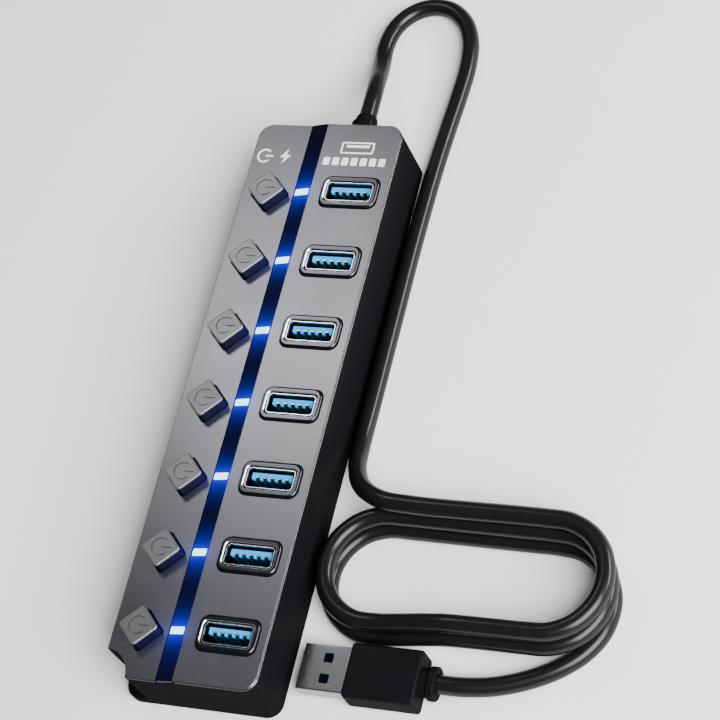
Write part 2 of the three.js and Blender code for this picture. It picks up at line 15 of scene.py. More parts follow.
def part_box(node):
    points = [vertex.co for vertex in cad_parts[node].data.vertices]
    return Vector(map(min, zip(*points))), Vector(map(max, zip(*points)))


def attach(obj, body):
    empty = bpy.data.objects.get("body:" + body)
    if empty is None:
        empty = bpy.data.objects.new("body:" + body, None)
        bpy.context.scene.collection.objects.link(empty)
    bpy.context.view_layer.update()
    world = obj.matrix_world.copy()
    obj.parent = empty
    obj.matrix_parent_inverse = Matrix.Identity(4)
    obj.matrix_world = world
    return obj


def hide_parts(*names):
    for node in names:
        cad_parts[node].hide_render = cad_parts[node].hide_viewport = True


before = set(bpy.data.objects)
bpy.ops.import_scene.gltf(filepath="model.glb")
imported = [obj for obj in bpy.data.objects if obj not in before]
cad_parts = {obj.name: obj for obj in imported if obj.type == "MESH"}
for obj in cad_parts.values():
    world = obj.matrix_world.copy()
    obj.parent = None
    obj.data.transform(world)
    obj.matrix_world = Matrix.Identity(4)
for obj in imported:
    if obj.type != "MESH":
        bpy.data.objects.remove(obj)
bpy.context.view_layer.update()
MM = 0.001

# %% [markdown]
# The camera comes first, because it says what is seen. It looks down on the hub from its
# front right corner and is rolled, so that the case stands almost upright in the picture.
# A long lens keeps the far end of the case nearly as wide as the near end.

# %% Camera
LOOK_AT = Vector((16.9, 19.8, 0)) * MM
DISTANCE = 657.7 * MM
AZIMUTH = math.radians(42.76)
ELEVATION = math.radians(55.8)
ROLL = math.radians(-33.42)

back = Vector((
    math.sin(AZIMUTH) * math.cos(ELEVATION),
    -math.cos(AZIMUTH) * math.cos(ELEVATION),
    math.sin(ELEVATION),
))
lens = bpy.data.cameras.new("camera")
lens.lens = 125.7
lens.sensor_width = 36
lens.clip_start = 0.01
camera = bpy.data.objects.new("camera", lens)
bpy.context.collection.objects.link(camera)
aim = back.to_track_quat("Z", "Y").to_matrix().to_4x4()
camera.matrix_world = (Matrix.Translation(LOOK_AT + back * DISTANCE) @ aim
                       @ Matrix.Rotation(ROLL, 4, "Z"))
bpy.context.scene.camera = camera
print("camera at", [round(v, 3) for v in camera.matrix_world.translation])

# %% [markdown]
# The cable is a 4.8 mm round lead. It leaves the end wall, comes down to the table, turns back
# along the case, is wound into an oval coil and ends in its plug. The loose stretches are points
# listed one by one. The coil is worked out by a loop: each turn follows a stadium, leans a little
# further out than the last, and steps down one cable diameter once a turn, so the turns rest on
# each other and cross nowhere.

# %% Cable route
CORD_DIAMETER = 4.8 * MM
ON_TABLE = 2.42  # height of the cable's middle where it lies
FROM_CASE = [
    (5.3, 84, 10), (5.3, 88.5, 10), (5.1, 95, 9.6), (4.2, 100.5, 7.8), (2.9, 106, 4.9),
    (1.7, 111.5, 2.8), (1.3, 117, ON_TABLE), (2.6, 122.8, ON_TABLE), (6.3, 127.6, ON_TABLE),
    (11.8, 130, ON_TABLE), (17.8, 129.2, ON_TABLE), (22.8, 125.2, ON_TABLE),
    (25.9, 118.8, ON_TABLE), (27, 110.5, ON_TABLE), (26.7, 101, ON_TABLE),
    (25.9, 90, ON_TABLE), (25.2, 78, ON_TABLE), (24.8, 64, ON_TABLE), (24.6, 50, ON_TABLE),
    (24.6, 36, ON_TABLE), (24.6, 22, ON_TABLE), (24.6, 10, ON_TABLE), (24.7, 0, 2.7),
    (25.3, -7, 4), (27, -14, 6.8), (31, -20.4, 9.9), (37.5, -24.1, 11.8), (46, -25, 12.1),
]
TO_PLUG = [
    (98.6, -42.5, ON_TABLE), (97.6, -49, ON_TABLE), (94.2, -54.6, ON_TABLE),
    (88.6, -59.4, ON_TABLE), (81.5, -63.2, 2.5), (73.8, -65.9, 3), (66.8, -67.2, 3.8),
    (60.9, -67.4, 4.05), (58.5, -67.4, 4.05),
]
COIL_CENTRE = (62, -39.5)
COIL_STRAIGHT = 22  # half of the straight side
COIL_RADIUS = 14.5
COIL_LEAN = 1.5  # shift towards -Y at each turn
COIL_START = 28  # along the first straight
COIL_TURNS = 2.19
COIL_TOP = 12.1  # height of the uppermost turn
LAYER = 4.84
POINTS_PER_TURN = 28
DROPS = (0.45, 1.45)  # turns after which the cable steps down to the next layer
DROP_LENGTH = 0.15  # of a turn


def ease(t):
    """Runs from 0 to 1 with a soft start and a soft stop."""
    t = min(max(t, 0), 1)
    return t * t * (3 - 2 * t)


def on_stadium(travel):
    """A point on the oval, going clockwise from the left end of the far straight."""
    straight = 2 * COIL_STRAIGHT
    bend = math.pi * COIL_RADIUS
    travel = travel % (2 * straight + 2 * bend)
    if travel < straight:
        return travel - COIL_STRAIGHT, COIL_RADIUS
    travel -= straight
    if travel < bend:
        turn = math.pi / 2 - travel / COIL_RADIUS
        return COIL_STRAIGHT + COIL_RADIUS * math.cos(turn), COIL_RADIUS * math.sin(turn)
    travel -= bend
    if travel < straight:
        return COIL_STRAIGHT - travel, -COIL_RADIUS
    turn = -math.pi / 2 - (travel - straight) / COIL_RADIUS
    return -COIL_STRAIGHT + COIL_RADIUS * math.cos(turn), COIL_RADIUS * math.sin(turn)


def coil_points():
    perimeter = 4 * COIL_STRAIGHT + 2 * math.pi * COIL_RADIUS
    points = []
    steps = round(COIL_TURNS * POINTS_PER_TURN)
    for step in range(1, steps + 1):
        turns = COIL_TURNS * step / steps
        x, y = on_stadium(COIL_START + turns * perimeter)
        height = COIL_TOP - LAYER * sum(ease((turns - drop) / DROP_LENGTH) for drop in DROPS)
        points.append((COIL_CENTRE[0] + x, COIL_CENTRE[1] + y - COIL_LEAN * turns, height))
    return points


route = [Vector(point) * MM for point in FROM_CASE + coil_points() + TO_PLUG]
print("cable route:", len(route), "points")

# %% [markdown]
# A spline through the points has to be smooth and still touch each of them. A centripetal
# Catmull-Rom curve does that without overshoot where the points are unevenly spaced. The cable is
# then a curve object with a round bevel.

# %% Cable
SPACING = 1.2 * MM


def smooth_path(points, spacing):
    """Points of a centripetal Catmull-Rom curve, about the given distance apart."""
    ends = [points[0] * 2 - points[1]] + points + [points[-1] * 2 - points[-2]]
    path = []
    for a, b, c, d in zip(ends, ends[1:], ends[2:], ends[3:]):
        t1 = (b - a).length ** 0.5
        t2 = t1 + (c - b).length ** 0.5
        t3 = t2 + (d - c).length ** 0.5
        count = max(2, round((c - b).length / spacing))
        for i in range(count):
            t = t1 + (t2 - t1) * i / count
            ab = a.lerp(b, t / t1)
            bc = b.lerp(c, (t - t1) / (t2 - t1))
            cd = c.lerp(d, (t - t2) / (t3 - t2))
            path.append(ab.lerp(bc, t / t2).lerp(bc.lerp(cd, (t - t1) / (t3 - t1)),
                                                 (t - t1) / (t2 - t1)))
    path.append(points[-1].copy())
    return path


cord_path = smooth_path(route, SPACING)
curve = bpy.data.curves.new("cable", "CURVE")
curve.dimensions = "3D"
curve.bevel_depth = CORD_DIAMETER / 2
curve.bevel_resolution = 6
curve.use_fill_caps = True
spline = curve.splines.new("POLY")
spline.points.add(len(cord_path) - 1)
for point, place in zip(spline.points, cord_path):
    point.co = (*place, 1)
spline.use_smooth = True
cable = bpy.data.objects.new("cable", curve)
bpy.context.collection.objects.link(cable)

# %% [markdown]
# Most of the hub is moulded from rounded slabs, so one helper makes them. A grid of one face
# is scaled, its corners are bevelled into quarter circles, and the face is extruded up. Each
# helper adds to a bmesh that is passed in, so one bmesh can hold a whole row of cutters. Bars
# with a stepped section, rods and turned rings are made in the same way.

# %% Slabs, bars, rods and lathe work
MERGE = 0.001 * MM  # points closer than this are one point


def add_slab(bm, size, radius, z0, z1, centre=(0, 0), turn=0, segments=8):
    """A slab with rounded upright edges between two heights; returns its faces."""
    corners = bmesh.ops.create_grid(bm, x_segments=1, y_segments=1, size=0.5)["verts"]
    bmesh.ops.scale(bm, vec=(size[0], size[1], 1), verts=corners)
    if radius:
        corners = bmesh.ops.bevel(bm, geom=corners, offset=radius, segments=segments,
                                  profile=0.5, affect="VERTICES", material=-1)["verts"]
    face = corners[0].link_faces[0]
    rim = list(face.verts)
    bmesh.ops.rotate(bm, cent=(0, 0, 0), matrix=Matrix.Rotation(turn, 3, "Z"), verts=rim)
    bmesh.ops.translate(bm, vec=(centre[0], centre[1], z0), verts=rim)
    return raise_face(bm, face, (0, 0, z1 - z0))


def raise_face(bm, face, vector):
    """Extrudes one face along a vector and returns all the faces of the closed solid."""
    rim = list(face.verts)
    grown = bmesh.ops.extrude_face_region(bm, geom=[face])["geom"]
    lifted = [item for item in grown if isinstance(item, bmesh.types.BMVert)]
    bmesh.ops.translate(bm, vec=vector, verts=lifted)
    faces = list({f for vert in rim + lifted for f in vert.link_faces})
    bmesh.ops.recalc_face_normals(bm, faces=faces)
    return faces


def add_bar(bm, corners, vector):
    """A bar whose section is a polygon of a few corners, drawn out along a vector."""
    face = bm.faces.new([bm.verts.new(corner) for corner in corners])
    return raise_face(bm, face, vector)


def add_rod(bm, radius, z0, z1, centre=(0, 0), segments=32):
    place = Matrix.Translation((centre[0], centre[1], (z0 + z1) / 2))
    bmesh.ops.create_cone(bm, cap_ends=True, segments=segments, radius1=radius, radius2=radius,
                          depth=z1 - z0, matrix=place)


def add_turned(bm, profile, centre, axis, steps=48):
    """Spins a profile of (radius, distance along the axis) into a closed solid."""
    axis = Vector(axis)
    side = axis.orthogonal().normalized()
    places = [Vector(centre) + side * radius + axis * along for radius, along in profile]
    verts = [bm.verts.new(place) for place in places]
    edges = [bm.edges.new(pair) for pair in zip(verts, verts[1:])]
    bmesh.ops.spin(bm, geom=verts + edges, cent=centre, axis=axis, dvec=(0, 0, 0),
                   angle=2 * math.pi, steps=steps, use_merge=True)
    bmesh.ops.remove_doubles(bm, verts=bm.verts[:], dist=MERGE)
    bmesh.ops.recalc_face_normals(bm, faces=bm.faces[:])


print("shapes: slab, bar, rod, turned ring")

# %% [markdown]
# Nearly every piece is a slab that is bevelled and then cut. Bevels come first, while the
# edges are long and simple. A cut is an exact Boolean on a throwaway object, whose result is
# read back into a bmesh, so each hole stays a plain shape of its own.

# %% Bevels and cuts
SHARP = math.radians(30)


def soften(bm, width, segments=2, only=None):
    """Bevels the sharp edges, or those of them that pass a test."""
    edges = [e for e in bm.edges if e.is_manifold and e.calc_face_angle(0) > SHARP]
    if only:
        edges = [e for e in edges if only(e)]
    bmesh.ops.bevel(bm, geom=edges, offset=width, segments=segments, profile=0.5,
                    affect="EDGES", material=-1, clamp_overlap=False)


def upper_rim(edge):
    """True between an upright face and one that looks up."""
    tilts = [face.normal.z for face in edge.link_faces]
    return min(abs(tilt) for tilt in tilts) < 0.1 and max(tilts) > 0.9


def carved(bm, tool, operation="DIFFERENCE"):
    """A new bmesh: bm cut by, joined to or kept inside the tool. Both inputs are used up."""
    body, cutter = to_object(bm, "carved_body"), to_object(tool, "carving_tool")
    change = body.modifiers.new("carve", "BOOLEAN")
    change.operation = operation
    change.solver = "EXACT"
    change.object = cutter
    shown = body.evaluated_get(bpy.context.evaluated_depsgraph_get())
    result = bmesh.new()
    result.from_mesh(shown.to_mesh())
    shown.to_mesh_clear()
    for spent in (body, cutter):
        mesh = spent.data
        bpy.data.objects.remove(spent)
        bpy.data.meshes.remove(mesh)
    bmesh.ops.remove_doubles(result, verts=result.verts[:], dist=2 * MERGE)
    bmesh.ops.dissolve_limit(result, angle_limit=math.radians(0.5), verts=result.verts[:],
                             edges=result.edges[:])
    return result


def to_object(bm, name):
    mesh = bpy.data.meshes.new(name)
    bm.to_mesh(mesh)
    bm.free()
    made = bpy.data.objects.new(name, mesh)
    bpy.context.collection.objects.link(made)
    return made


print("cuts: difference, union, intersect")

# %% [markdown]
# A piece is finished the same way each time. Blunt edges are shaded smooth, but a level face
# is kept apart from the bevel beside it, so that it stays flat to the light. The piece then
# gets its materials and rides on its body, and the frame nodes it stands for are retired.

# %% Finishing a piece
SMOOTH_UNDER = math.radians(35)


def finished(bm, name, materials, body="housing", replaces=()):
    """Names, shades and paints a piece, rides it on its body and retires its CAD nodes."""
    for edge in bm.edges:
        level = {abs(face.normal.z) > 0.999 for face in edge.link_faces}
        edge.smooth = len(level) == 1 and edge.calc_face_angle(0) < SMOOTH_UNDER
    for face in bm.faces:
        face.smooth = True
    piece = to_object(bm, name)
    for material in materials:
        piece.data.materials.append(material)
    even = piece.modifiers.new("even normals", "WEIGHTED_NORMAL")
    even.keep_sharp = True
    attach(piece, body)
    if replaces:
        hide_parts(*replaces)
    print(f"{name}: {len(piece.data.polygons)} faces")
    return piece


# %% [markdown]
# Every finish here is moulded plastic, plate or paint. None of them is one flat colour: a
# moulding has a fine grain that breaks up its highlight and a broad drift in tone. Both come
# from one node group of two noises, so each material only says how strong they are. The
# constant numbers, such as metallic or coat, sit on the shader's own sockets.

# %% Grain group and the moulded material
def new_group(name, inputs, outputs):
    group = bpy.data.node_groups.new(name, "ShaderNodeTree")
    for label, kind in inputs:
        group.interface.new_socket(label, in_out="INPUT", socket_type=kind)
    for label in outputs:
        group.interface.new_socket(label, in_out="OUTPUT", socket_type="NodeSocketFloat")
    return group, group.nodes.new("NodeGroupInput"), group.nodes.new("NodeGroupOutput")


def chain(tree, operation, *values):
    """A math node whose inputs are sockets or plain numbers; returns its output."""
    node = tree.nodes.new("ShaderNodeMath")
    node.operation = operation
    for socket, value in zip(node.inputs, values):
        if isinstance(value, bpy.types.NodeSocket):
            tree.links.new(value, socket)
        else:
            socket.default_value = value
    return node.outputs[0]


def noise(tree, vector, scale, detail):
    node = tree.nodes.new("ShaderNodeTexNoise")
    node.inputs["Detail"].default_value = detail
    tree.links.new(vector, node.inputs["Vector"])
    tree.links.new(scale, node.inputs["Scale"])
    return node.outputs["Fac"]


grain_group, given, result = new_group(
    "grain", [("Vector", "NodeSocketVector"), ("Scale", "NodeSocketFloat")], ["Fine", "Broad"])
fine = noise(grain_group, given.outputs["Vector"], given.outputs["Scale"], 2)
broad_scale = chain(grain_group, "MULTIPLY", given.outputs["Scale"], 0.02)
broad = noise(grain_group, given.outputs["Vector"], broad_scale, 3)
grain_group.links.new(fine, result.inputs["Fine"])
grain_group.links.new(broad, result.inputs["Broad"])


def blank(name, metallic=0.0, shine=0.5, coat=0.0, coat_roughness=0.1):
    material = bpy.data.materials.new(name)
    material.use_nodes = True
    shader = material.node_tree.nodes["Principled BSDF"]
    shader.inputs["Metallic"].default_value = metallic
    shader.inputs["Specular IOR Level"].default_value = shine
    shader.inputs["Coat Weight"].default_value = coat
    shader.inputs["Coat Roughness"].default_value = coat_roughness
    return material, material.node_tree, shader


def blended(tree, factor, dark, light):
    mix = tree.nodes.new("ShaderNodeMix")
    mix.data_type = "RGBA"
    mix.inputs["A"].default_value = (*dark, 1)
    mix.inputs["B"].default_value = (*light, 1)
    tree.links.new(factor, mix.inputs["Factor"])
    return mix.outputs["Result"]


def spread(tree, value, low, high):
    node = tree.nodes.new("ShaderNodeMapRange")
    node.inputs["From Min"].default_value = 0.3
    node.inputs["From Max"].default_value = 0.7
    node.inputs["To Min"].default_value = low
    node.inputs["To Max"].default_value = high
    tree.links.new(value, node.inputs["Value"])
    return node.outputs["Result"]


def moulded(name, dark, light, roughness, grain=2500, bump=0.1, depth=0.05, **constants):
    """Tone and roughness drift between two values, over a fine grain that bumps the surface."""
    material, tree, shader = blank(name, **constants)
    where = tree.nodes.new("ShaderNodeTexCoord").outputs["Object"]
    texture = tree.nodes.new("ShaderNodeGroup")
    texture.node_tree = grain_group
    texture.inputs["Scale"].default_value = grain
    tree.links.new(where, texture.inputs["Vector"])
    tone = chain(tree, "ADD", chain(tree, "MULTIPLY", texture.outputs["Fine"], 0.5),
                 chain(tree, "MULTIPLY", texture.outputs["Broad"], 0.5))
    tree.links.new(blended(tree, tone, dark, light), shader.inputs["Base Color"])
    tree.links.new(spread(tree, texture.outputs["Broad"], *roughness),
                   shader.inputs["Roughness"])
    relief = tree.nodes.new("ShaderNodeBump")
    relief.inputs["Strength"].default_value = bump
    relief.inputs["Distance"].default_value = depth * MM
    tree.links.new(texture.outputs["Fine"], relief.inputs["Height"])
    tree.links.new(relief.outputs["Normal"], shader.inputs["Normal"])
    return material


BLACK = (0.003, 0.003, 0.004), (0.006, 0.006, 0.007)
POLISHED = dict(grain=1500, bump=0.01)
case_black = moulded("case_black", *BLACK, (0.3, 0.4), grain=3000, bump=0.08, shine=0,
                     coat=0.03, coat_roughness=0.25)
rim_gloss = moulded("rim_gloss", (0.10, 0.10, 0.11), (0.14, 0.14, 0.15), (0.16, 0.24),
                    **POLISHED, metallic=1.0)
frame_land = moulded("frame_land", (0.045, 0.045, 0.052), (0.07, 0.07, 0.08), (0.14, 0.22),
                     **POLISHED, metallic=1.0)
frame_gloss = moulded("frame_gloss", (0.003, 0.003, 0.006), (0.006, 0.006, 0.010),
                      (0.12, 0.2), **POLISHED, shine=0, coat=0.3)
bright_rim = moulded("bright_rim", (0.62, 0.63, 0.66), (0.78, 0.79, 0.81), (0.2, 0.3),
                     **POLISHED, metallic=1.0)
gold = moulded("gold", (0.85, 0.55, 0.20), (0.95, 0.70, 0.34), (0.16, 0.28), bump=0.05,
               metallic=1.0)
cap_grey = moulded("cap_grey", (0.17, 0.17, 0.18), (0.22, 0.22, 0.23), (0.34, 0.42),
                   grain=3500, bump=0.2, metallic=0.9)
cap_dark = moulded("cap_dark", (0.002, 0.002, 0.008), (0.004, 0.004, 0.016), (0.18, 0.28),
                   bump=0.05, shine=0, coat=0.08)
jacket = moulded("cable_jacket", *BLACK, (0.14, 0.22), grain=900, bump=0.05, depth=0.06,
                 shine=0, coat=0.5, coat_roughness=0.26)
overmould_black = moulded("overmould_black", *BLACK, (0.3, 0.4), grain=2600, bump=0.1,
                          shine=0, coat=0.07, coat_roughness=0.22)
plug_steel = moulded("plug_steel", (0.22, 0.22, 0.235), (0.34, 0.34, 0.36), (0.2, 0.32),
                     **POLISHED, metallic=1.0)
white_print = moulded("white_print", (0.72, 0.73, 0.74), (0.86, 0.87, 0.88), (0.45, 0.6),
                      bump=0.05)
print("materials:", len(bpy.data.materials))

# %% [markdown]
# The light shows inside the smoked bar, as a hot spot at each window that falls off to navy. Its
# faint blue spill on the paint beside the bar and on the dark sides of the caps is painted light,
# an emission on those surfaces. All depend on how far a point is from the nearest of seven
# windows. One group measures that, and each material turns the distance into its own glow with an
# exponential.

# %% Nearest-window group
PORTS = 7


def middle(node):
    low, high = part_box(node)
    return (Vector(low) + Vector(high)) / 2


sockets = [middle(f"port_shell_{k}") for k in range(1, PORTS + 1)]
buttons = [middle(f"button_cap_{k}") for k in range(1, PORTS + 1)]
windows = [middle(f"led_{k}") for k in range(1, PORTS + 1)]
pitch = (windows[0].y - windows[-1].y) / (PORTS - 1)

nearest_group, given, result = new_group(
    "nearest_window", [("Vector", "NodeSocketVector")], ["Along", "Around"])
split = nearest_group.nodes.new("ShaderNodeSeparateXYZ")
nearest_group.links.new(given.outputs["Vector"], split.inputs["Vector"])
rank = chain(nearest_group, "ROUND", chain(
    nearest_group, "DIVIDE", chain(nearest_group, "SUBTRACT", windows[0].y, split.outputs["Y"]),
    pitch))
rank = chain(nearest_group, "MINIMUM", chain(nearest_group, "MAXIMUM", rank, 0), PORTS - 1)
centre_y = chain(nearest_group, "SUBTRACT", windows[0].y,
                 chain(nearest_group, "MULTIPLY", rank, pitch))
along = chain(nearest_group, "ABSOLUTE",
              chain(nearest_group, "SUBTRACT", split.outputs["Y"], centre_y))
across = chain(nearest_group, "ABSOLUTE",
               chain(nearest_group, "SUBTRACT", split.outputs["X"], windows[0].x))
across = chain(nearest_group, "MAXIMUM", chain(nearest_group, "SUBTRACT", across, 2.5 * MM), 0)
around = chain(nearest_group, "SQRT", chain(
    nearest_group, "ADD", chain(nearest_group, "MULTIPLY", along, along),
    chain(nearest_group, "MULTIPLY", across, across)))
nearest_group.links.new(along, result.inputs["Along"])
nearest_group.links.new(around, result.inputs["Around"])


def add_glow(material, measure, fades, color, strength):
    """Emission that fades with distance from the nearest window, as a sum of exponentials."""
    tree = material.node_tree
    shader = tree.nodes["Principled BSDF"]
    nearest = tree.nodes.new("ShaderNodeGroup")
    nearest.node_tree = nearest_group
    where = tree.nodes.new("ShaderNodeTexCoord").outputs["Object"]
    tree.links.new(where, nearest.inputs["Vector"])
    total = None
    for reach, share in fades:
        fall = chain(tree, "EXPONENT",
                     chain(tree, "DIVIDE", nearest.outputs[measure], -reach * MM))
        fall = chain(tree, "MULTIPLY", fall, share)
        total = fall if total is None else chain(tree, "ADD", total, fall)
    tree.links.new(blended(tree, total, (0, 0, 0), color), shader.inputs["Emission Color"])
    shader.inputs["Emission Strength"].default_value = strength


def shade_along(material, axis, dark_end, bright_end, least, painted_glow=0):
    """Painted shade, darker along an axis where less light gets in, with an optional painted
    glow.
    """
    tree = material.node_tree
    split = tree.nodes.new("ShaderNodeSeparateXYZ")
    where = tree.nodes.new("ShaderNodeTexCoord").outputs["Object"]
    tree.links.new(where, split.inputs["Vector"])
    lit = tree.nodes.new("ShaderNodeMapRange")
    lit.interpolation_type = "SMOOTHSTEP"
    lit.inputs["From Min"].default_value = dark_end * MM
    lit.inputs["From Max"].default_value = bright_end * MM
    lit.inputs["To Min"].default_value = least
    tree.links.new(split.outputs[axis], lit.inputs["Value"])
    shader = tree.nodes["Principled BSDF"]
    color = shader.inputs["Base Color"]
    dim = tree.nodes.new("ShaderNodeMix")
    dim.data_type = "RGBA"
    dim.blend_type = "MULTIPLY"
    dim.inputs["Factor"].default_value = 1
    tree.links.new(color.links[0].from_socket, dim.inputs["A"])
    tree.links.new(lit.outputs["Result"], dim.inputs["B"])
    tree.links.new(dim.outputs["Result"], color)
    # Painted glow: an emission in the shaded colour brightens the resin.
    if painted_glow:
        tree.links.new(dim.outputs["Result"], shader.inputs["Emission Color"])
        shader.inputs["Emission Strength"].default_value = painted_glow


socket_nickel = moulded("socket_nickel", (0.72, 0.73, 0.76), (0.85, 0.86, 0.88), (0.14, 0.22),
                        **POLISHED, metallic=1.0)
# Painted shade: the nickel can darkens towards the bottom of the socket.
shade_along(socket_nickel, "Z", 18.4, 19.9, 0.05)
socket_blue = moulded("socket_blue", (0.0, 0.24, 0.62), (0.0, 0.31, 0.74), (0.35, 0.45),
                      grain=1500, bump=0.02, shine=0.02)
# Painted shade: the blue tongue darkens deeper in the socket, and a painted glow lifts it.
shade_along(socket_blue, "Z", 17.4, 18.6, 0.06, painted_glow=0.15)
plug_blue = moulded("plug_blue", (0.0, 0.26, 0.72), (0.0, 0.33, 0.84), (0.35, 0.45),
                    grain=1500, bump=0.02, shine=0.05)
# Painted shade: the plug's blue darkens deeper inside the can, and a painted glow lifts it.
shade_along(plug_blue, "X", 29.5, 26.5, 0.01, painted_glow=0.3)
face_paint = moulded("face_paint", (0.13, 0.13, 0.14), (0.17, 0.17, 0.18), (0.26, 0.31),
                     **POLISHED, depth=0.02, metallic=0.96)
# Painted light: the windows' blue spill on the paint, as an emission.
add_glow(face_paint, "Around", [(1.8, 0.7), (6.5, 0.2)], (0.16, 0.18, 1.0), 0.3)
smoked_bar = moulded("smoked_bar", (0.001, 0.001, 0.005), (0.002, 0.002, 0.008), (0.2, 0.28),
                     **POLISHED, shine=0, coat=0.32, coat_roughness=0.25)
# Painted light: the windows' blue spill on the caps' dark sides, as an emission.
add_glow(cap_dark, "Around", [(2.4, 0.8)], (0.01, 0.02, 0.9), 0.2)
add_glow(smoked_bar, "Along", [(2.0, 0.96), (7.0, 0.035)], (0.006, 0.035, 1.0), 1.6)
window_light, tree, shader = blank("window_light")
shader.inputs["Base Color"].default_value = (0.6, 0.8, 0.9, 1)
shader.inputs["Roughness"].default_value = 0.3
flicker = tree.nodes.new("ShaderNodeTexNoise")
flicker.inputs["Scale"].default_value = 900
tree.links.new(tree.nodes.new("ShaderNodeTexCoord").outputs["Object"],
               flicker.inputs["Vector"])
tree.links.new(blended(tree, flicker.outputs["Fac"], (0.16, 0.70, 1.0), (0.36, 0.90, 1.0)),
               shader.inputs["Emission Color"])
shader.inputs["Emission Strength"].default_value = 2.6
print("windows", round(pitch / MM, 2), "mm apart")

# %% [markdown]
# The case pieces share a few sizes and four shapes to cut with: all that lies above the
# stepped face, the light bar's groove, the round bite at the lanyard corner, and the outline
# of the case inset by a wall.

# %% Case sizes and cutting tools
low, high = (Vector(corner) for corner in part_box("base_shell"))
case_width, case_length = high.x - low.x, high.y - low.y
half_width, half_length = case_width / 2, case_length / 2
FACE_HIGH = 19.5 * MM  # the socket side of the face
FACE_STEP = 1.24 * MM  # the switch side lies this much lower
FACE_LOW = FACE_HIGH - FACE_STEP
STRIPE_LEFT, STRIPE_RIGHT = -5.91 * MM, -0.78 * MM
CASE_RADIUS = 4 * MM
WALL = 1.8 * MM
GAP = 0.3 * MM
COVER_EDGE = 0.5 * MM
COVER_THICKNESS = 2.2 * MM
STRIPE_THICKNESS = 1.1 * MM
LANYARD_RADIUS = 6.8 * MM
LANYARD_CORNER = (-half_width, -half_length)
HIGH_UP = 40 * MM
PAST = 2 * MM  # how far a cut runs past the case


def above_face(depth):
    """Everything higher than the face lowered by a depth, as a cutting tool."""
    tool = bmesh.new()
    left_end, right_end = -half_width - PAST, half_width + PAST
    section = [(left_end, FACE_LOW - depth), (STRIPE_LEFT, FACE_LOW - depth),
               (STRIPE_RIGHT, FACE_HIGH - depth), (right_end, FACE_HIGH - depth),
               (right_end, HIGH_UP), (left_end, HIGH_UP)]
    add_bar(tool, [Vector((x, -half_length - PAST, z)) for x, z in section],
            (0, case_length + 2 * PAST, 0))
    return tool


def stripe_groove(margin):
    """What the light bar's groove takes out of the face, widened by a margin."""
    tool = bmesh.new()
    low_floor = FACE_LOW - STRIPE_THICKNESS - GAP
    high_floor = FACE_HIGH - STRIPE_THICKNESS - GAP
    section = [(STRIPE_LEFT - margin, low_floor), (STRIPE_RIGHT + margin, high_floor),
               (STRIPE_RIGHT + margin, HIGH_UP), (STRIPE_LEFT - margin, HIGH_UP)]
    add_bar(tool, [Vector((x, -half_length - WALL, z)) for x, z in section],
            (0, case_length + 2 * WALL, 0))
    return tool


def lanyard_tool(radius, z0, z1):
    tool = bmesh.new()
    add_rod(tool, radius, z0, z1, LANYARD_CORNER, segments=128)
    return tool


def inset_slab(inset, z0, z1, segments=10):
    slab = bmesh.new()
    add_slab(slab, (case_width - 2 * inset, case_length - 2 * inset),
             max(CASE_RADIUS - inset, 0.5 * MM), z0, z1, segments=segments)
    return slab


print("case", round(case_width / MM, 1), "x", round(case_length / MM, 1), "mm")

# %% [markdown]
# The cover is a thin plate whose face has two levels with a slope between them. It starts as
# one rounded slab. A prism with the stepped section keeps what lies under the face, and one
# bmesh for each kind of hole cuts the rest, which is far shorter than weaving 21 openings into
# one mesh by hand. The outer edge gets a small bevel first, because a moulded edge always
# catches a thin line of light. Only the face is painted: the walls stay black.

# %% Cover
FRAME_SIZE = (16.2 * MM, 9.4 * MM)
WINDOW_SIZE = (4.2 * MM, 1.9 * MM)
FRAME_RADIUS = 2.6 * MM
SEAT_GAP = 0.2 * MM
CAP_SIDE = 7.7 * MM
CAP_RADIUS = 0.9 * MM
CAP_CLEARANCE = 0.35 * MM
EDGE_BEVEL = 0.26 * MM

plate = carved(inset_slab(0, FACE_LOW - COVER_THICKNESS, HIGH_UP / 2), above_face(0))
soften(plate, EDGE_BEVEL, only=upper_rim, segments=3)
rim_trim = carved(inset_slab(-PAST, 0, HIGH_UP / 2), above_face(COVER_EDGE))
rim_trim = carved(rim_trim, inset_slab(WALL + GAP, -1 * MM, HIGH_UP, segments=6))
plate = carved(plate, rim_trim)
holes = bmesh.new()
for socket, button in zip(sockets, buttons):
    add_slab(holes, [side + 2 * SEAT_GAP for side in FRAME_SIZE], FRAME_RADIUS, 0, HIGH_UP,
             socket.xy)
    add_slab(holes, (CAP_SIDE + 2 * CAP_CLEARANCE,) * 2, CAP_RADIUS, 0, HIGH_UP, button.xy,
             turn=math.pi / 4)
for window in windows:
    add_slab(holes, [side + 2 * GAP for side in WINDOW_SIZE], 0, 0, HIGH_UP, window.xy)
plate = carved(plate, holes)
plate = carved(plate, stripe_groove(0))
plate = carved(plate, lanyard_tool(LANYARD_RADIUS, 0, HIGH_UP))
for face in plate.faces:
    face.material_index = 1 if abs(face.normal.z) < 0.3 else 0
finished(plate, "cover_plate", [face_paint, case_black], replaces=["top_cover"])

# %% [markdown]
# Each socket sits in its own raised frame: a glossy ring, dropped into a rounded hole of the
# cover with a hairline of shadow round it. The ring is one slab with a slot in it. Its outer
# top edge has a wide bevel. Its mouth is cut by a funnel, which leaves a narrow bright bevel
# inside a darker land, as on a real chromed or lacquered frame.

# %% Socket frames
SHELL_SIZE = (13.2 * MM, 5.7 * MM)
FRAME_TOP = 20.3 * MM
FRAME_FOOT = 17 * MM
FRAME_BEVEL = 0.55 * MM
INNER_BEVEL = 0.18 * MM
SLOT_RADIUS = 1.3 * MM


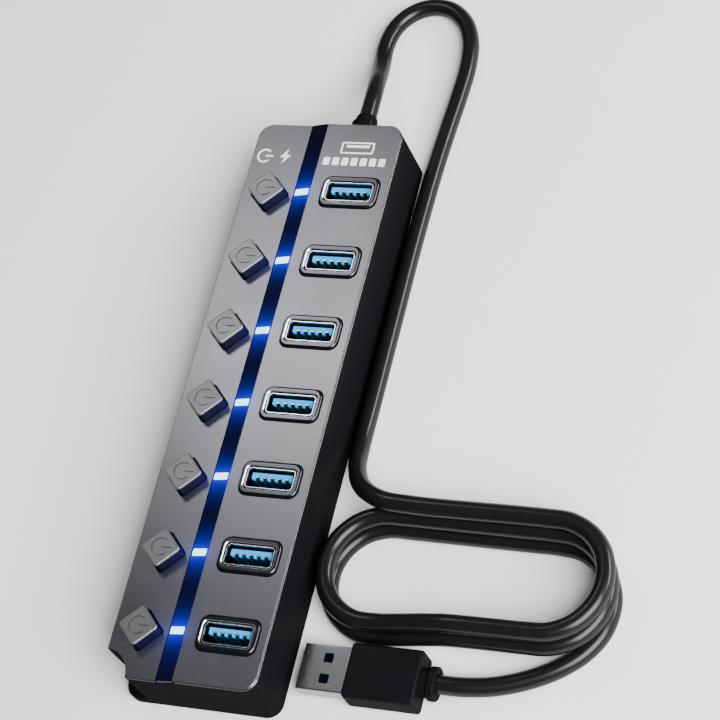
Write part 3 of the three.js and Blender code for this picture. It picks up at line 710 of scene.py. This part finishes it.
def add_funnel(bm, size, radius, z0, z1, centre, grow):
    """A slab whose upper outline is larger all round, to cut a bevelled mouth."""
    for face in add_slab(bm, size, radius, z0, z1, centre):
        for vert in face.verts:
            vert.tag = abs(vert.co.z - z1) < MERGE
    top = [vert for vert in bm.verts if vert.tag]
    bmesh.ops.scale(bm, verts=top, space=Matrix.Translation((-centre[0], -centre[1], 0)),
                    vec=[1 + 2 * grow / side for side in size] + [1])


for k, socket in enumerate(sockets, 1):
    ring = bmesh.new()
    add_slab(ring, FRAME_SIZE, FRAME_RADIUS, FRAME_FOOT, FRAME_TOP, socket.xy)
    soften(ring, FRAME_BEVEL, only=upper_rim, segments=3)
    slot = bmesh.new()
    slot_size = [side + 2 * GAP for side in SHELL_SIZE]
    add_slab(slot, slot_size, SLOT_RADIUS, 0, HIGH_UP, socket.xy)
    ring = carved(ring, slot)
    mouth = bmesh.new()
    add_funnel(mouth, slot_size, SLOT_RADIUS, FRAME_TOP - INNER_BEVEL,
               FRAME_TOP + INNER_BEVEL, socket.xy, 2 * INNER_BEVEL)
    ring = carved(ring, mouth)
    for face in ring.faces:
        offset = face.calc_center_median() - socket
        in_mouth = (abs(offset.x) < slot_size[0] / 2 + GAP
                    and abs(offset.y) < slot_size[1] / 2 + GAP)
        if face.normal.z < 0.3:
            face.material_index = 1
        elif in_mouth and face.normal.z < 0.95:
            face.material_index = 2
    finished(ring, f"socket_frame_{k}", [frame_land, frame_gloss, bright_rim])

# %% [markdown]
# The tub below the cover carries everything. It is the same outline, cut off a hairline
# below the cover's edge, which leaves the dark seam. Inside it is hollow. One corner is
# scooped out down to a bar, for a lanyard. The floor has four counterbored screw holes, and
# the end wall a round hole for the cable's strain relief. The bevelled rim is glossier than
# the rest, so it draws a second thin line of light under the seam.

# %% Case tub
EXIT = Vector((5.3, 80, 10)) * MM
FLOOR = 2 * MM
LANYARD_WALL = 1.2 * MM
LANYARD_BAR = 2 * MM
LANYARD_BAR_HEIGHT = 2.6 * MM
BOSS_RADIUS, BOSS_TOP = 3.5 * MM, 5.2 * MM
SHAFT_RADIUS, SHAFT_TOP = 1.3 * MM, 8 * MM
HEAD_RADIUS, HEAD_DEPTH = 2.3 * MM, 2 * MM
EXIT_RADIUS = 3.3 * MM
RIM_BAND = 1.2 * MM  # how far below the face the glossy rim reaches
screws = [middle(f"case_screw_{k}") for k in range(1, 5)]

tub = carved(inset_slab(0, 0, FACE_HIGH), above_face(COVER_EDGE + GAP))
soften(tub, EDGE_BEVEL, only=upper_rim, segments=3)
soften(tub, EDGE_BEVEL, only=lambda edge: max(vert.co.z for vert in edge.verts) < 0.01 * MM)
cavity = carved(inset_slab(WALL, FLOOR, HIGH_UP, segments=6),
                lanyard_tool(LANYARD_RADIUS + LANYARD_WALL, 0, HIGH_UP * 2))
tub = carved(tub, cavity)
tub = carved(tub, stripe_groove(GAP))
bosses = bmesh.new()
for screw in screws:
    add_rod(bosses, BOSS_RADIUS, 0.02 * MM, BOSS_TOP, screw.xy)
tub = carved(tub, bosses, "UNION")
bores = bmesh.new()
for screw in screws:
    add_rod(bores, SHAFT_RADIUS, 1.5 * MM, SHAFT_TOP, screw.xy, segments=24)
    add_rod(bores, HEAD_RADIUS, -1 * MM, HEAD_DEPTH, screw.xy)
tub = carved(tub, bores)
scoop = carved(lanyard_tool(LANYARD_RADIUS, -1 * MM, LANYARD_BAR_HEIGHT + 1 * MM),
               inset_slab(LANYARD_BAR, -2 * MM, HIGH_UP), "INTERSECT")
tub = carved(tub, scoop)
tub = carved(tub, lanyard_tool(LANYARD_RADIUS, LANYARD_BAR_HEIGHT, HIGH_UP))
neck = bmesh.new()
add_turned(neck, [(0, -6 * MM), (EXIT_RADIUS, -6 * MM), (EXIT_RADIUS, 6 * MM), (0, 6 * MM)],
           EXIT, (0, 1, 0), steps=32)
tub = carved(tub, neck)
for face in tub.faces:
    rim = face.calc_center_median().z > FACE_LOW - RIM_BAND and face.normal.z > 0.2
    face.material_index = 1 if rim else 0
finished(tub, "case_tub", [case_black, rim_gloss], replaces=["base_shell"])

# %% [markdown]
# The light bar bridges the step between the two levels of the face, so its section is a thin
# sloping strip. It lies in a groove that is a fifth of a millimetre wider on each side, whose
# shadow outlines it. Each window is a separate clear pad on the bar, lit from below by an LED.

# %% Light bar and windows
STRIPE_SIDE_GAP = 0.2 * MM
PAD_RADIUS, PAD_DEPTH, PAD_PROUD = 0.25 * MM, 0.25 * MM, 0.03 * MM
slope = FACE_STEP / (STRIPE_RIGHT - STRIPE_LEFT)
tilt = Matrix.Rotation(-math.atan(slope), 3, "Y")
left, right = STRIPE_LEFT + STRIPE_SIDE_GAP, STRIPE_RIGHT - STRIPE_SIDE_GAP
left_top, right_top = FACE_LOW + slope * STRIPE_SIDE_GAP, FACE_HIGH - slope * STRIPE_SIDE_GAP
strip = bmesh.new()
add_bar(strip, [Vector((x, -half_length - WALL, z)) for x, z in (
    (left, left_top - STRIPE_THICKNESS), (right, right_top - STRIPE_THICKNESS),
    (right, right_top), (left, left_top))], (0, case_length + 2 * WALL, 0))
strip = carved(strip, inset_slab(0, 0, HIGH_UP), "INTERSECT")
soften(strip, 0.12 * MM)
finished(strip, "light_stripe", [smoked_bar], replaces=["light_bar"])

for k, window in enumerate(windows, 1):
    pad = bmesh.new()
    add_slab(pad, WINDOW_SIZE, PAD_RADIUS, -PAD_DEPTH, PAD_PROUD)
    bmesh.ops.rotate(pad, cent=(0, 0, 0), matrix=tilt, verts=pad.verts[:])
    bmesh.ops.translate(pad, verts=pad.verts[:],
                        vec=(window.x, window.y, (FACE_LOW + FACE_HIGH) / 2))
    finished(pad, f"light_window_{k}", [window_light])

# %% [markdown]
# A switch cap is a square stick turned on its corner, with a thin grey top on a deep dark
# body, as if the top were a separate inlay. A flange under the cover stops it from being
# pulled out. The mark on top is the usual power sign, an open ring with a stroke through the
# gap, sunk a third of a millimetre, so it shows by its shadow and not by its colour.

# %% Switch caps
CAP_CROWN = 4 * MM
CAP_BEVEL = 0.3 * MM
FLANGE, FLANGE_THICKNESS = 0.75 * MM, 0.9 * MM
PLUNGER_POCKET = 4 * MM
SIGN_RADIUS = 2.3 * MM
SIGN_WIDTH = 0.26 * MM
SIGN_DEPTH = 0.35 * MM
TOP_LAYER = 0.55 * MM


def arc_band(bm, centre, radius, width, start, end, z0, z1, steps=40):
    """A flat band that follows part of a circle, between two angles in degrees."""
    angles = [math.radians(start + (end - start) * i / steps) for i in range(steps + 1)]
    corners = []
    for reach, order in ((radius + width / 2, angles), (radius - width / 2, angles[::-1])):
        corners += [Vector((centre[0] + reach * math.cos(a), centre[1] + reach * math.sin(a), z0))
                    for a in order]
    add_bar(bm, corners, (0, 0, z1 - z0))


def add_power_sign(bm, centre, radius, width, z0, z1):
    arc_band(bm, centre, radius, width, 42, 318, z0, z1)
    add_slab(bm, (radius * 1.15, width), 0, z0, z1, (centre[0] + radius * 0.72, centre[1]))


for k, button in enumerate(buttons, 1):
    low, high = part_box(f"button_cap_{k}")
    cap = bmesh.new()
    diamond = dict(centre=button.xy, turn=math.pi / 4)
    add_slab(cap, (CAP_SIDE,) * 2, CAP_RADIUS, low.z, high.z, **diamond)
    soften(cap, CAP_BEVEL, only=upper_rim, segments=3)
    skirt = bmesh.new()
    add_slab(skirt, (CAP_SIDE + 2 * FLANGE,) * 2, CAP_RADIUS, low.z, low.z + FLANGE_THICKNESS,
             **diamond)
    cap = carved(cap, skirt, "UNION")
    cuts = bmesh.new()
    add_power_sign(cuts, button.xy, SIGN_RADIUS, SIGN_WIDTH, high.z - SIGN_DEPTH, HIGH_UP)
    add_slab(cuts, (PLUNGER_POCKET,) * 2, 0, 0, high.z - CAP_CROWN, button.xy)
    cap = carved(cap, cuts)
    bmesh.ops.bisect_plane(cap, geom=cap.verts[:] + cap.edges[:] + cap.faces[:],
                           plane_co=(0, 0, high.z - TOP_LAYER), plane_no=(0, 0, 1))
    for face in cap.faces:
        face.material_index = int(face.calc_center_median().z < high.z - TOP_LAYER)
    finished(cap, f"cap_{k}", [cap_grey, cap_dark], body=f"button_{k}",
             replaces=[f"button_cap_{k}"])

# %% [markdown]
# Behind each frame stands a real receptacle: a folded steel can with its lip showing, and a
# blue tongue near one long side. The tongue carries five contacts in notches along its free
# edge. The can is a tube made by cutting one slab out of another, with a rounded lip.

# %% Sockets
SHELL_WALL = 0.35 * MM
TONGUE_WIDTH = 11.1 * MM
TONGUE_THICKNESS = 1.84 * MM
TONGUE_BACK_GAP = 0.65 * MM
FOOT_HEIGHT = 3.1 * MM
LIP_BEVEL = 0.12 * MM
CONTACTS = 5
CONTACT_PITCH = 2 * MM
CONTACT_SIZE = (1.1 * MM, 0.3 * MM)
NOTCH_SIZE = (1.4 * MM, 1.6 * MM)

for k, socket in enumerate(sockets, 1):
    low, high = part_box(f"port_shell_{k}")
    can = bmesh.new()
    add_slab(can, SHELL_SIZE, 1.1 * MM, low.z, high.z, socket.xy)
    bore = bmesh.new()
    inside = [side - 2 * SHELL_WALL for side in SHELL_SIZE]
    add_slab(bore, inside, 0.75 * MM, 0, HIGH_UP, socket.xy)
    can = carved(can, bore)
    soften(can, LIP_BEVEL, only=upper_rim)
    finished(can, f"socket_shell_{k}", [socket_nickel], replaces=[f"port_shell_{k}"])

    low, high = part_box(f"port_insulator_{k}")
    back_y = socket.y + SHELL_SIZE[1] / 2 - SHELL_WALL - TONGUE_BACK_GAP
    tongue_y = back_y - TONGUE_THICKNESS / 2
    front_y = back_y - TONGUE_THICKNESS
    tongue = bmesh.new()
    add_slab(tongue, (TONGUE_WIDTH, TONGUE_THICKNESS), 0.3 * MM, low.z + 2 * MM, high.z,
             (socket.x, tongue_y), segments=3)
    foot = bmesh.new()
    add_slab(foot, [side - 2 * GAP for side in inside], 0.5 * MM, low.z, low.z + FOOT_HEIGHT,
             socket.xy, segments=2)
    tongue = carved(tongue, foot, "UNION")
    slots, strips = bmesh.new(), bmesh.new()
    for i in range(CONTACTS):
        x = socket.x + (i - (CONTACTS - 1) / 2) * CONTACT_PITCH
        add_slab(slots, NOTCH_SIZE, 0, low.z + 4 * MM, HIGH_UP, (x, front_y))
        add_slab(strips, CONTACT_SIZE, 0, low.z + FOOT_HEIGHT + 0.1 * MM, high.z - 0.1 * MM,
                 (x, front_y + NOTCH_SIZE[1] / 2 - 0.2 * MM))
    tongue = carved(tongue, slots)
    soften(tongue, LIP_BEVEL, only=lambda edge: upper_rim(edge)
           and edge.verts[0].co.z > high.z - 0.01 * MM)
    finished(tongue, f"socket_tongue_{k}", [socket_blue],
             replaces=[f"port_insulator_{k}"])
    soften(strips, 0.08 * MM)
    finished(strips, f"socket_contacts_{k}", [gold])

# %% [markdown]
# The strain relief is a rubber collar turned about the cable. Its flange sits inside the
# wall, and outside it steps down to a short taper. It is one profile spun round an axis,
# with a bore for the cable.

# %% Strain relief and cord
RELIEF_PROFILE = [
    (2.42, -3.7), (4.55, -3.7), (4.55, -2.1), (3, -2.1), (3, 0.3), (3.6, 0.3), (3.75, 0.45),
    (3.75, 5.5), (3.6, 5.85), (3.2, 6), (3.05, 6.15), (2.95, 7.6), (2.75, 8), (2.42, 8),
    (2.42, -3.7),
]
turned = bmesh.new()
add_turned(turned, [(r * MM, along * MM) for r, along in RELIEF_PROFILE], EXIT, (0, 1, 0))
relief = finished(turned, "relief", [overmould_black],
                  replaces=["strain_relief"])
cable.data.materials.append(jacket)
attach(cable, "housing")
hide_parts("cord_upper", "cord_coil", "cord_lower")

# %% [markdown]
# The plug is three things in a row: a moulded grip with a neck and a collar at the cable, a
# folded steel can with two square latch holes in its top, and an insulator with contacts
# inside the can. It lies on the table and points back towards the case, along -X. Its slabs
# are made upright by the usual helper and then turned on their side.

# %% Plug
low, high = (Vector(corner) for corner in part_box("plug_overmould"))
PLUG_Y, PLUG_Z = (low.y + high.y) / 2, (low.z + high.z) / 2
GRIP = Vector((18.6, 14.2, 8)) * MM
GRIP_RADIUS, GRIP_BEVEL = 1.3 * MM, 0.7 * MM
COLLAR_SIZE = (8.6 * MM, 6.8 * MM)
COLLAR_BEVEL = 0.35 * MM
NECK_TRIM = 1.2 * MM  # the neck is smaller than the collar
CAN_SIZE = (12 * MM, 4.5 * MM)
CAN_WALL = 0.3 * MM
CORD_HOLE = 2.42 * MM  # radius
LATCH_HOLE = 2.4 * MM
LATCH_PLACES = (-2.7, 2.7)
PAD_PLACES = (-3.5, -1, 1, 3.5)
grip_back = low.x + GRIP.x


def along_x(bm, size, radius, x0, x1, segments=8):
    """A slab with its section across the plug, from x0 to x1. Size is width and height."""
    before = set(bm.verts)
    add_slab(bm, (size[1], size[0]), radius, 0, x1 - x0, segments=segments)
    fresh = [vert for vert in bm.verts if vert not in before]
    bmesh.ops.rotate(bm, cent=(0, 0, 0), matrix=Matrix.Rotation(math.pi / 2, 3, "Y"), verts=fresh)
    bmesh.ops.translate(bm, vec=(x0, PLUG_Y, PLUG_Z), verts=fresh)


def across_x(edge):
    """True for an edge that lies across the plug, such as those at its two ends."""
    return abs(edge.verts[0].co.x - edge.verts[1].co.x) < 0.01 * MM


grip = bmesh.new()
along_x(grip, GRIP.yz, GRIP_RADIUS, low.x, grip_back)
soften(grip, GRIP_BEVEL, only=across_x, segments=3)
for x0, x1, trim in ((grip_back - 1 * MM, grip_back + 2.2 * MM, NECK_TRIM),
                     (grip_back + 2 * MM, high.x, 0)):
    step = bmesh.new()
    width, height = (side - trim for side in COLLAR_SIZE)
    along_x(step, (width, height), height / 2 - 0.1 * MM, x0, x1)
    soften(step, COLLAR_BEVEL, segments=3, only=across_x)
    grip = carved(grip, step, "UNION")
bore = bmesh.new()
add_turned(bore, [(0, -2.6 * MM), (CORD_HOLE, -2.6 * MM), (CORD_HOLE, 1 * MM), (0, 1 * MM)],
           (high.x, PLUG_Y, PLUG_Z), (1, 0, 0), steps=32)
pocket = bmesh.new()
along_x(pocket, [side + 0.1 * MM for side in CAN_SIZE], 0.5 * MM, low.x - 1 * MM,
        low.x + 3.1 * MM)
grip = carved(carved(grip, bore), pocket)
plug_body = finished(grip, "plug_body", [overmould_black],
                     replaces=["plug_overmould"])

low, high = (Vector(corner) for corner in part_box("plug_shell"))
can = bmesh.new()
along_x(can, CAN_SIZE, 0.45 * MM, low.x, high.x)
hollow = bmesh.new()
along_x(hollow, [side - 2 * CAN_WALL for side in CAN_SIZE], 0.25 * MM, low.x - 1 * MM,
        high.x + 1 * MM, segments=4)
can = carved(can, hollow)
soften(can, 0.08 * MM, only=across_x)
latches = bmesh.new()
for side in LATCH_PLACES:
    add_slab(latches, (LATCH_HOLE,) * 2, 0.1 * MM, PLUG_Z, HIGH_UP,
             (low.x + 6.8 * MM, PLUG_Y + side * MM), segments=2)
can = carved(can, latches)
plug_can = finished(can, "plug_can", [plug_steel], replaces=["plug_shell"])

low, high = (Vector(corner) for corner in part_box("plug_insulator"))
board = bmesh.new()
add_slab(board, (high.x - low.x, high.y - low.y), 0.2 * MM, low.z, high.z,
         ((low.x + high.x) / 2, PLUG_Y), segments=2)
plug_tongue = finished(board, "plug_tongue", [plug_blue],
                       replaces=["plug_insulator"])
pads = bmesh.new()
for side in PAD_PLACES:
    add_slab(pads, (3.6 * MM, 1.1 * MM), 0.1 * MM, high.z - 0.02 * MM, high.z + 0.12 * MM,
             (low.x + 2.4 * MM, PLUG_Y + side * MM), segments=2)
plug_pads = finished(pads, "plug_contacts", [gold])

# %% [markdown]
# Three small white signs are printed by the cable end, beside the first switch and above the
# first socket: the power sign with a spark, a socket seen from the front, and a row of seven
# small sockets. Ink has hardly any thickness, so they are pads that stand 0.03 mm proud.

# %% Printed signs
INK = 0.03 * MM
POWER_AT = (-17.4 * MM, 70 * MM)
SPARK_AT = (-11.2, 70)
SPARK = [(0.5, 2.4), (-1.6, -0.3), (-0.2, -0.3), (-0.8, -2.4), (1.5, 0.5), (0.1, 0.5)]
SOCKET_AT = (9.5 * MM, 72.6 * MM)
SEVEN_AT, SEVEN_PITCH = (9.5, 68.3), 2.65

ink = bmesh.new()
base, top = FACE_LOW - INK, FACE_LOW + INK
add_power_sign(ink, POWER_AT, 1.9 * MM, 0.55 * MM, base, top)
add_bar(ink, [Vector((SPARK_AT[0] + x, SPARK_AT[1] + y, base / MM)) * MM for x, y in SPARK],
        (0, 0, top - base))
finished(ink, "sign_power", [white_print])

ink = bmesh.new()
base, top = FACE_HIGH - INK, FACE_HIGH + INK
add_slab(ink, (9.4 * MM, 3.6 * MM), 0.5 * MM, base, top, SOCKET_AT)
hollow = bmesh.new()
add_slab(hollow, (8.5 * MM, 2.7 * MM), 0.2 * MM, 0, HIGH_UP, SOCKET_AT)
ink = carved(ink, hollow)
add_slab(ink, (6.6 * MM, 0.8 * MM), 0.1 * MM, base, top, (SOCKET_AT[0], SOCKET_AT[1] + 0.5 * MM))
finished(ink, "sign_socket", [white_print])

ink = bmesh.new()
for i in range(PORTS):
    add_slab(ink, (1.9 * MM, 2.4 * MM), 0.4 * MM, base, top,
             ((SEVEN_AT[0] + (i - (PORTS - 1) / 2) * SEVEN_PITCH) * MM, SEVEN_AT[1] * MM),
             segments=4)
finished(ink, "sign_seven", [white_print])

# %% [markdown]
# The pieces inside the case come straight from the frame. They are seen only through the
# gaps and the screw holes, but they still get their own finish: a green board with a fine
# weave, steel screws, resin switches with pale plungers, and a clear guide over the LEDs.

# %% Finishes of the pieces inside
inside_finish = {
    "circuit_board": moulded("board_green", (0.008, 0.07, 0.025), (0.015, 0.11, 0.04),
                             (0.35, 0.5), grain=1500, bump=0.2, coat=0.3),
    "hub_controller": moulded("chip_black", (0.01, 0.01, 0.011), (0.02, 0.02, 0.021),
                              (0.5, 0.65)),
    "case_screw": moulded("screw_zinc", (0.20, 0.20, 0.21), (0.30, 0.30, 0.31), (0.25, 0.4),
                          metallic=1.0),
    "led": moulded("led_clear", (0.60, 0.78, 0.85), (0.72, 0.88, 0.95), (0.25, 0.35)),
    "switch_body": moulded("switch_black", (0.010, 0.010, 0.011), (0.018, 0.018, 0.019),
                           (0.45, 0.6)),
    "switch_plunger": moulded("plunger_white", (0.68, 0.66, 0.60), (0.78, 0.76, 0.71),
                              (0.4, 0.5)),
    "light_guide": moulded("guide_clear", (0.60, 0.70, 0.76), (0.72, 0.80, 0.86),
                           (0.15, 0.25), coat=0.5),
}
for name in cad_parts:
    stem = name.rstrip("0123456789").rstrip("_")
    if stem in inside_finish:
        worn = bpy.data.objects[name].data.materials
        worn.clear()
        worn.append(inside_finish[stem])
print("finishes inside:", sorted(inside_finish))

# %% [markdown]
# The setting is a plain pale floor and soft studio light. One small softbox stands where the
# face mirrors it to the camera, so the paint runs from bright at the far end to dark at the
# near end. A large one on the right lights the floor, the caps and the cable, and a low strip
# draws the thin line along the bevelled edge of the cover.

# %% Floor and lights
floor = bmesh.new()
bmesh.ops.create_grid(floor, x_segments=1, y_segments=1, size=3)
floor = to_object(floor, "floor")
floor.data.materials.append(moulded("floor_paper", (0.82, 0.82, 0.82), (0.86, 0.86, 0.86),
                                    (0.6, 0.7), grain=40, bump=0))


def softbox(name, azimuth, elevation, distance, size, power, target=(0, 0, 0)):
    a, e = math.radians(azimuth), math.radians(elevation)
    towards = Vector((math.sin(a) * math.cos(e), -math.cos(a) * math.cos(e), math.sin(e)))
    light = bpy.data.lights.new(name, "AREA")
    light.shape = "RECTANGLE"
    light.size, light.size_y = size
    light.energy = power
    lamp = bpy.data.objects.new(name, light)
    lamp.location = Vector(target) + towards * distance
    lamp.rotation_mode = "QUATERNION"
    lamp.rotation_quaternion = towards.to_track_quat("Z", "Y")
    bpy.context.collection.objects.link(lamp)


softbox("face_box", 222.8, 56, 0.6, (0.12, 0.13), 0.45, target=(0.005, 0.012, 0))
softbox("key_box", 62, 42, 1.3, (0.9, 0.9), 56)
softbox("edge_box", 116, 22, 0.8, (0.5, 0.12), 6)
world = bpy.data.worlds.new("studio")
world.use_nodes = True
world.node_tree.nodes["Background"].inputs["Color"].default_value = (1, 1, 1, 1)
world.node_tree.nodes["Background"].inputs["Strength"].default_value = 0.15
bpy.context.scene.world = world
